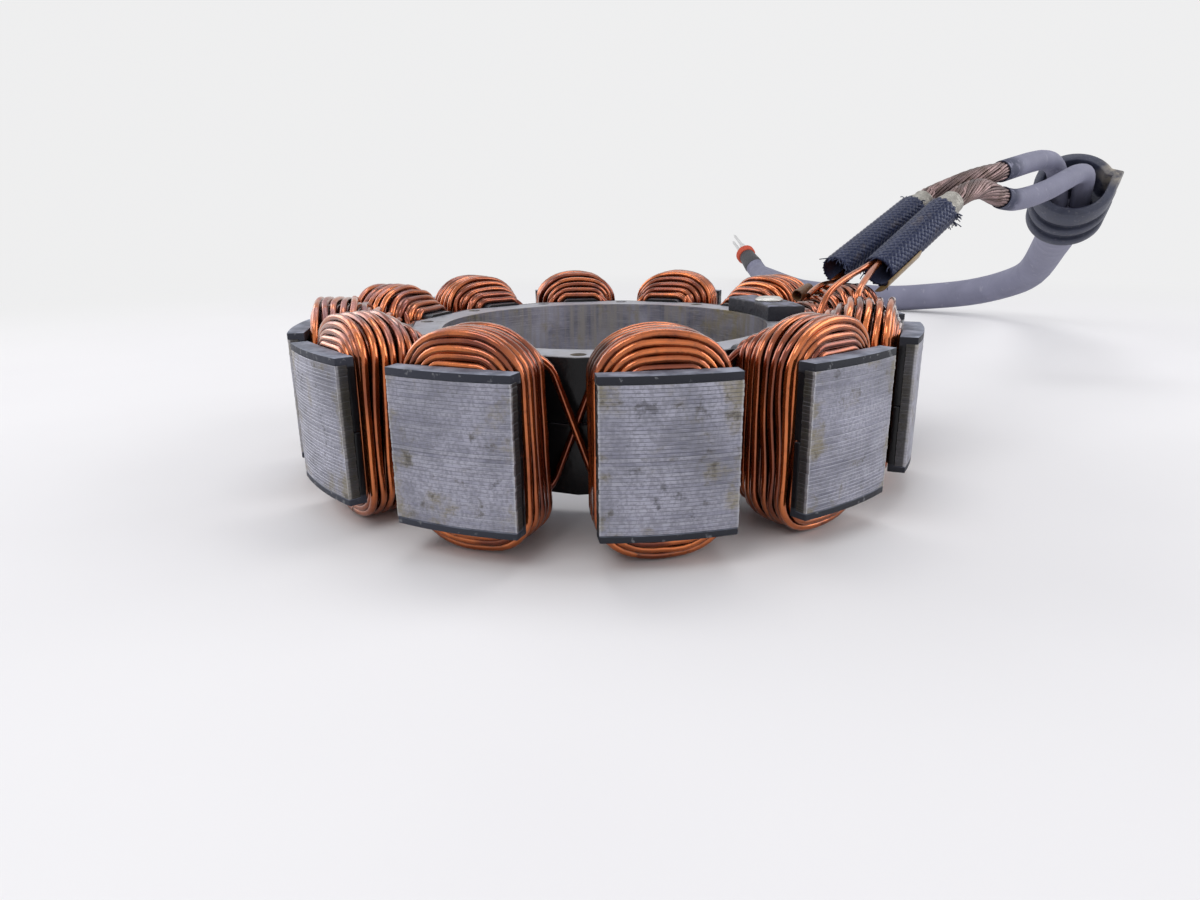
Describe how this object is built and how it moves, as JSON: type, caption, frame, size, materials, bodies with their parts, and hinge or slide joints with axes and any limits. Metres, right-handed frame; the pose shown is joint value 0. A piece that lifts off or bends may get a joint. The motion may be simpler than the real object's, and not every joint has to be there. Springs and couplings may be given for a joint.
{
  "type": "wound stator",
  "caption": "Outer-pole alternator stator: laminated toothed core with moulded insulators, layered copper coils on every tooth, sleeved leads, ribbed case grommet and grey output cable.",
  "frame": {"origin": "on the axis of the bore, at half the height of the lamination stack", "axes": "+Z along the bore axis, up; the first pole faces -Y, and the leads leave the pole that faces +X"},
  "size_m": [0.2403, 0.4347, 0.0563],
  "materials": {
    "core_steel": "ground pole faces with lamination lines and oil stains",
    "moulded_black": "glossy black moulded insulation",
    "copper_wire": "copper wire under glossy amber enamel",
    "dusty_plastic": "black moulding with grey dust",
    "rivet_metal": "dull",
    "brown_sleeve": "varnished fibre",
    "woven_sleeve": "woven and varnished",
    "solder": "dull grey solder",
    "bare_strands": "bare twisted copper",
    "lead_insulation": "matte grey",
    "varnish_film": "brown varnished film",
    "grommet_rubber": "oily black rubber",
    "boot_rubber": "matte dark grey",
    "seal_red": "satin red",
    "pin_metal": "plated"
  },
  "bodies": {
    "root": {"lamination_stack": "core_steel", "upper_insulator": "moulded_black", "lower_insulator": "moulded_black", "coil_01": "copper_wire", "coil_02": "copper_wire", "coil_03": "copper_wire", "coil_04": "copper_wire", "coil_05": "copper_wire", "coil_06": "copper_wire", "coil_07": "copper_wire", "coil_08": "copper_wire", "coil_09": "copper_wire", "coil_10": "copper_wire", "coil_11": "copper_wire", "coil_12": "copper_wire", "coil_links": "copper_wire", "lead_block": "dusty_plastic", "block_rivet": "rivet_metal", "link_wire": "copper_wire", "link_sleeve": "brown_sleeve", "front_lead_wires": "copper_wire", "rear_lead_wires": "copper_wire", "front_sleeve": "woven_sleeve", "rear_sleeve": "woven_sleeve", "front_solder_joint": "solder", "rear_solder_joint": "solder", "front_strands": "bare_strands", "rear_strands": "bare_strands", "front_conductor": "lead_insulation", "rear_conductor": "lead_insulation", "insulation_film": "varnish_film", "case_grommet": "grommet_rubber", "cable_jacket": "lead_insulation", "cable_boot": "boot_rubber", "seal_collar": "seal_red", "contact_pins": "pin_metal"}
  },
  "joints": []
}
